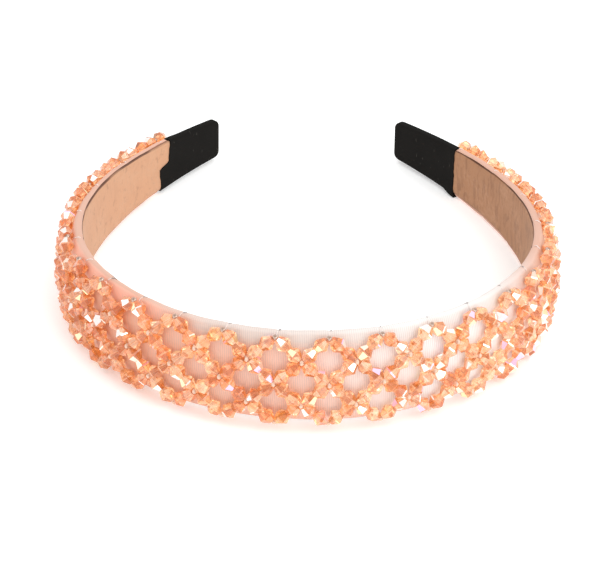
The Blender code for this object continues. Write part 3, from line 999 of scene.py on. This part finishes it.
class HEADBAND_OT_wraps(bpy.types.Operator):
    """Ribbon wraps over the two tips, each a thin pocket with rounded corners"""

    bl_idname = "headband.wraps"
    bl_label = "Ribbon wraps"

    def skin(self, side, setback, sizes):
        """Rings of one skin, set back inwards, from mouth to tip. At the corners the half width
        closes in along a quarter circle, and the thickness does so at the folded end."""
        opening = 1 - np.cos(np.linspace(0, np.pi / 2, 9))
        closing = np.sin(np.linspace(0, np.pi / 2, 12))
        share = np.concatenate([CLOSE_RINGS * opening[:-1],
                                np.linspace(CLOSE_RINGS, 1 - CLOSE_RINGS, 40),
                                1 - CLOSE_RINGS + CLOSE_RINGS * closing[1:]])
        end = HALF_LENGTH - setback
        arc = MOUTH + share * (end - MOUTH)
        half, edge, crest = band_sizes(arc, WRAP_PROUD - setback)
        corner = WRAP_CORNER - setback
        over = np.clip(arc - (end - corner), 0, corner)
        half = half - WRAP_PINCH - corner + np.sqrt(corner ** 2 - over ** 2)
        folded = np.clip((arc - (end - FOLD_LENGTH)) / FOLD_LENGTH, 0, 1)
        close = FOLD_DEPTH * (1 - np.sqrt(1 - folded ** 2))
        inner = setback - LINING_THICKNESS - WRAP_PROUD + close
        out, height = rounded_section(section_template(15, 4, 41), half, inner, edge - close,
                                      crest - close, sizes.ribbon_roll - setback / 2)
        run = arc[:, None] + (mouth_arc(side, height) - MOUTH) * (1 - smooth(share * 2.2))[:, None]
        if side > 0:
            swell = smooth((MOUTH + BULGE_END - run) / BULGE_FADE)
            swell = swell * smooth(-height / half[:, None] * 2 - 1)
            height = height - sizes.ribbon_bulge * swell
        return side * run, out, height

    def execute(self, context):
        sizes = context.scene.headband
        finish = ribbon_finish(sizes)
        for name, node, side in (("ribbon_wrap_left", "end_wrap_left", -1),
                                 ("ribbon_wrap_right", "end_wrap_right", 1)):
            skins = zip(self.skin(side, RIBBON_SKIN, sizes), self.skin(side, 0.0, sizes))
            # The rings run up the inner skin to the mouth and back along the outer one
            run, out, height = (np.concatenate([inner[::-1], outer]) for inner, outer in skins)
            rings = place(run, out, height)
            piece = new_piece(name, with_poles(rings), tube_faces(*rings.shape[:2]), finish,
                              {"cloth": cloth_field(run, height, out)})
            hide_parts(node)
        return {"FINISHED"}


def crystal_seats():
    """Middle and direction of each crystal: two on every side of a diamond, beside the knots, and
    one past each end of the top strand."""
    middles, ways = [], []
    first = (KNOT_LENGTH + CRYSTAL_LENGTH) / 2 / SIDE_LENGTH
    for strand in range(STRANDS):
        knots = knot(strand, *strand_line(strand))
        way = np.diff(knots, axis=0)
        for share in (first, 1 - first):
            middles.append(knots[:-1] + way * share)
            ways.append(way)
        if strand == 0:
            past = LOOSE_SHARE * first
            loose = knots[[0, -1]] + way[[0, -1]] * [[-past], [past]]
            middles.append(loose - [0.0, 0.0, LOOSE_DROP])
            ways.append(way[[0, -1]])
    return np.concatenate(middles), unit(np.concatenate(ways))


class HEADBAND_OT_crystals(bpy.types.Operator):
    """Faceted double cones of peach glass, strung in the diamond net"""

    bl_idname = "headband.crystals"
    bl_label = "Crystals"

    def faces(self, count):
        """Quads between the four rings of every crystal, and the flats at its two holes."""
        corners = 4 * CRYSTAL_SIDES
        offset = (np.arange(count) * corners)[:, None, None]
        index = np.arange(corners).reshape(4, CRYSTAL_SIDES)
        after = np.roll(index, -1, axis=1)
        quads = np.stack([index[:-1], after[:-1], after[1:], index[1:]], axis=-1).reshape(-1, 4)
        flats = np.stack([index[0, ::-1], index[-1]])
        return [(offset + quads).reshape(-1, 4), (offset + flats).reshape(-1, CRYSTAL_SIDES)]

    def fields(self, dice, middles):
        """Draw for a flash, depth of colour and shade of each face: first all facets, then the
        flats at the holes, which never flash."""
        count, facets = len(middles), 3 * CRYSTAL_SIDES
        favour = np.interp(middles[:, 0], FLASH_PLACES, FLASH_FAVOUR)
        flash = np.clip(dice.uniform(0, 1, count * facets) / np.repeat(favour, facets), 0, 1)
        depth = dice.uniform(0, 1, count) ** DEPTH_POWER
        depth = np.concatenate([np.repeat(depth, facets), np.repeat(depth, 2)])
        facet = dice.uniform(0, 1, len(depth))
        depth = np.clip(depth + dice.normal(0, DEPTH_SPREAD, len(depth)), 0, 1)
        flash = np.concatenate([flash, np.ones(count * 2)])
        return {"flash": flash, "depth": depth, "facet": facet}

    def execute(self, context):
        sizes = context.scene.headband
        dice = np.random.default_rng(CRYSTAL_SEED)
        middles, ways = crystal_seats()
        count = len(middles)
        ways = unit(ways + dice.normal(0, sizes.tilt_spread, (count, 3)))
        side = unit(np.cross(ways, dice.normal(0, 1, (count, 3))))
        over = np.cross(ways, side)
        # Each ring is a circle across the crystal's axis, at its place along the axis
        along = (np.array(CRYSTAL_RINGS) * CRYSTAL_LENGTH)[None, :, None, None]
        radius = (np.array(CRYSTAL_RADII) * CRYSTAL_DIAMETER)[None, :, None, None]
        angle = (np.arange(CRYSTAL_SIDES) / CRYSTAL_SIDES * 2 * np.pi)[None, None, :, None]
        ways, side, over = (axis[:, None, None] for axis in (ways, side, over))
        grow = dice.uniform(*CRYSTAL_GROWTH, count)[:, None, None, None]
        circle = np.cos(angle) * side + np.sin(angle) * over
        points = middles[:, None, None] + grow * (ways * along + radius * circle)
        piece = new_piece("crystals", points.reshape(-1, 3), self.faces(count),
                          crystal_finish(sizes), self.fields(dice, middles), smoothly=False)
        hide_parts("bead_net")
        return {"FINISHED"}


class HEADBAND_OT_beads(bpy.types.Operator):
    """Small glass beads at the knots of the net"""

    bl_idname = "headband.beads"
    bl_label = "Knot beads"

    def seats(self):
        """Middle and arc of each bead, and whether it lies on an outer row of the net."""
        places, arcs, edge = [], [], []
        for strand in range(STRANDS):
            low, along = strand_line(strand)
            # A strand's upper knots are the strand above's lower ones, save beside the file
            parted = (strand == 1) & (np.abs(along) > FILE_START + FILE_PARTING)
            own = (low == 1) | (strand == 0) | parted
            places.append(knot(strand, low[own], along[own]))
            arcs.append(along[own])
            outer = 1 if strand == STRANDS - 1 else 0 if strand == 0 else -1
            edge.append(low[own] == outer)
        return np.concatenate(places), np.concatenate(arcs), np.concatenate(edge)

    def execute(self, context):
        sizes = context.scene.headband
        dice = np.random.default_rng(BEAD_SEED)
        middles, arcs, edge = self.seats()
        outward = unit(place(arcs, 0.01, 0.0) - place(arcs, 0.0, 0.0))
        upward = np.broadcast_to([0.0, 0.0, 1.0], outward.shape)
        level = unit(np.cross(outward, upward))
        hole = np.where(edge[:, None], upward + OUTER_LEAN * outward, level)
        hole = unit(hole + dice.normal(0, BEAD_WOBBLE, hole.shape))
        side = unit(np.cross(hole, outward))
        over = np.cross(hole, side)
        above = edge & (middles[:, 2] > 0)
        middles = middles - upward * np.where(above, TOP_BEAD_DROP, 0.0)[:, None]
        middles = middles + outward * np.where(edge, 0.0, BEAD_PROUD)[:, None]
        # Torus: a circle round the hole, and a rounded section round that circle
        turn = (np.arange(BEAD_AROUND) / BEAD_AROUND * 2 * np.pi)[None, :, None, None]
        roll = np.arange(BEAD_SECTION) / BEAD_SECTION * 2 * np.pi
        wall = sizes.bead_diameter * BEAD_WALL
        reach = (sizes.bead_diameter / 2 - wall + wall * np.cos(roll))[None, None, :, None]
        rise = (sizes.bead_length / 2 * np.sin(roll))[None, None, :, None]
        middles, side, over, hole = (part[:, None, None] for part in (middles, side, over, hole))
        points = middles + reach * (np.cos(turn) * side + np.sin(turn) * over) + rise * hole
        index = np.arange(BEAD_AROUND * BEAD_SECTION).reshape(BEAD_AROUND, BEAD_SECTION)
        after, beside = np.roll(index, -1, axis=0), np.roll(index, -1, axis=1)
        quads = np.stack([index, after, np.roll(after, -1, axis=1), beside], axis=-1).reshape(-1, 4)
        first = np.arange(len(middles))[:, None, None] * index.size
        fields = {"hole": np.tile(smooth(-np.cos(roll) * 1.6), len(middles) * BEAD_AROUND),
                  "silver": np.repeat(above.astype(float), index.size)}
        piece = new_piece("knot_beads", points.reshape(-1, 3), [(first + quads).reshape(-1, 4)],
                          knot_finish(sizes), fields)
        return {"FINISHED"}


class HEADBAND_OT_thread(bpy.types.Operator):
    """Nylon thread through the strands, and the stitches that hold the net to the rim"""

    bl_idname = "headband.thread"
    bl_label = "Thread and stitches"

    def stitch(self, side, arc, slip, sizes):
        """Path of one stitch through its way points, softened once, and its shade along it."""
        _, edge, _ = band_sizes(arc)
        out = np.array([edge + 0.0012, edge + 0.00005, edge / 2, -0.0002, 0.0])
        high = cloth_half(arc, sizes) + np.array(STITCH_RISE)
        run = arc + slip * np.array(STITCH_RUN)
        last = len(STITCH_RUN) - 1
        bend = smooth((abs(arc) - BEND_START) / BEND_EASE)
        step = np.linspace(BEND_CUT[0] * bend, last - BEND_CUT[1] * bend, STITCH_STEPS)
        base = np.arange(last + 1.0)
        path = place(np.interp(step, base, run), np.interp(step, base, out),
                     side * np.interp(step, base, high))
        path[1:-1] = (path[:-2] + 2 * path[1:-1] + path[2:]) / 4
        shade = smooth((SHADE_REACH - np.abs(step - SHADE_POINT)) / SHADE_EASE)
        return path, shade * (abs(arc) < SHADE_END)

    def execute(self, context):
        sizes = context.scene.headband
        dice = np.random.default_rng(STITCH_SEED)
        lines = []
        for strand in range(STRANDS):
            path = knot(strand, *strand_line(strand))
            lines.append((path, np.zeros(len(path))))
        for side in (1, -1):
            for arc in edge_knots(side):
                lines.append(self.stitch(side, arc, STITCH_SLIP * dice.uniform(*SLIP_RANGE), sizes))
        clouds, groups, shades, start = [], [], [], 0
        for path, shade in lines:
            clouds.append(carried_tube(path, sizes.thread_diameter / 2, THREAD_AROUND))
            groups.append(tube_faces(len(path), THREAD_AROUND, start))
            shades.append(np.concatenate([np.repeat(shade, THREAD_AROUND), shade[[0, -1]]]))
            start += len(clouds[-1])
        faces = [np.concatenate([group[kind] for group in groups]) for kind in (0, 1)]
        piece = new_piece("nylon_thread", np.concatenate(clouds), faces, thread_finish(sizes),
                          {"rim": np.concatenate(shades)})
        return {"FINISHED"}


class HEADBAND_OT_stage(bpy.types.Operator):
    """Pale floor, soft studio light and a camera at the photograph's viewing angle"""

    bl_idname = "headband.stage"
    bl_label = "Stage"

    def lamp(self, name, spot, width, power, tint):
        """A square soft light turned towards the middle of the floor."""
        light = bpy.data.lights.new(name, "AREA")
        light.size = width
        light.energy = power
        light.color = tint
        lamp = bpy.data.objects.new(name, light)
        lamp.location = spot
        lamp.rotation_euler = (-Vector(spot)).to_track_quat("-Z", "Y").to_euler()
        bpy.context.scene.collection.objects.link(lamp)

    def floor(self, sizes):
        """A flat grid of four quads under everything."""
        ticks = np.linspace(-FLOOR_REACH, FLOOR_REACH, 3)
        x, y = np.meshgrid(ticks, ticks)
        low = np.full_like(x, min(0.0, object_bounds()[0].z))
        points = np.stack([x, y, low], axis=-1).reshape(-1, 3)
        index = np.arange(9).reshape(3, 3)
        quads = np.stack([index[:-1, :-1], index[:-1, 1:], index[1:, 1:], index[1:, :-1]], axis=-1)
        mesh = bpy.data.meshes.new("floor")
        mesh.from_pydata(points.tolist(), [], quads.reshape(-1, 4).tolist())
        mesh.materials.append(floor_finish(sizes))
        floor = bpy.data.objects.new("floor", mesh)
        bpy.context.scene.collection.objects.link(floor)
        floor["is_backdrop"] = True

    def camera(self):
        """Camera from the fitted view: its axes in the band frame, turned as the band rests."""
        level = math.cos(VIEW_ELEVATION)
        back = np.array([math.sin(VIEW_AZIMUTH) * level, -math.cos(VIEW_AZIMUTH) * level,
                         math.sin(VIEW_ELEVATION)])
        right = unit(np.cross(-back, [0, 0, 1.0]))
        up = np.cross(right, -back)
        across = math.cos(VIEW_ROLL) * right + math.sin(VIEW_ROLL) * up
        upright = -math.sin(VIEW_ROLL) * right + math.cos(VIEW_ROLL) * up
        axes = np.stack([across, upright, back], axis=1)
        world = np.eye(4)
        world[:3, :3] = TURN @ axes
        world[:3, 3] = to_world(np.array(VIEW_AIM) + VIEW_DISTANCE * back)
        data = bpy.data.cameras.new("camera")
        data.sensor_width = SENSOR_WIDTH
        data.lens = VIEW_FOCAL / IMAGE_SIZE[0] * data.sensor_width
        data.shift_x = (IMAGE_SIZE[0] / 2 - VIEW_MIDDLE[0]) / IMAGE_SIZE[0]
        data.shift_y = (VIEW_MIDDLE[1] - IMAGE_SIZE[1] / 2) / IMAGE_SIZE[0]
        data.clip_start, data.clip_end = 0.05, 20.0
        camera = bpy.data.objects.new("camera", data)
        camera.matrix_world = Matrix(world.tolist())
        bpy.context.scene.collection.objects.link(camera)
        bpy.context.scene.camera = camera

    def sky(self):
        """Even white surroundings, as a studio has."""
        world = bpy.data.worlds.new("studio")
        world.use_nodes = True
        background = world.node_tree.nodes["Background"]
        background.inputs["Color"].default_value = (1.0, 1.0, 1.0, 1.0)
        background.inputs["Strength"].default_value = SKY_STRENGTH
        bpy.context.scene.world = world

    def execute(self, context):
        self.floor(context.scene.headband)
        self.camera()
        self.sky()
        for lamp in LAMPS:
            self.lamp(*lamp)
        context.scene.view_settings.view_transform = "Standard"
        return {"FINISHED"}


class HEADBAND_PT_panel(bpy.types.Panel):
    """Sizes, colours and steps of the crystal headband."""

    bl_idname = "HEADBAND_PT_panel"
    bl_label = "Crystal headband"
    bl_space_type = "VIEW_3D"
    bl_region_type = "UI"
    bl_category = "Headband"

    def draw(self, context):
        column = self.layout.column()
        for step in STEPS:
            column.operator(step.bl_idname)
        for name in HeadbandSizes.__annotations__:
            column.prop(context.scene.headband, name)


STEPS = (HEADBAND_OT_cover, HEADBAND_OT_lining, HEADBAND_OT_wraps, HEADBAND_OT_crystals,
         HEADBAND_OT_beads, HEADBAND_OT_thread, HEADBAND_OT_stage)
CLASSES = (HeadbandSizes, *STEPS, HEADBAND_PT_panel)


def register():
    """Make the sizes, the steps and the panel known."""
    for kind in CLASSES:
        bpy.utils.register_class(kind)
    bpy.types.Scene.headband = PointerProperty(type=HeadbandSizes)


def unregister():
    """Take the sizes, the steps and the panel away again."""
    del bpy.types.Scene.headband
    for kind in reversed(CLASSES):
        bpy.utils.unregister_class(kind)


def main():
    """Build every piece in order."""
    register()
    bpy.ops.headband.cover()
    bpy.ops.headband.lining()
    bpy.ops.headband.wraps()
    bpy.ops.headband.crystals()
    bpy.ops.headband.beads()
    bpy.ops.headband.thread()
    bpy.ops.headband.stage()


if __name__ == "__main__":
    main()
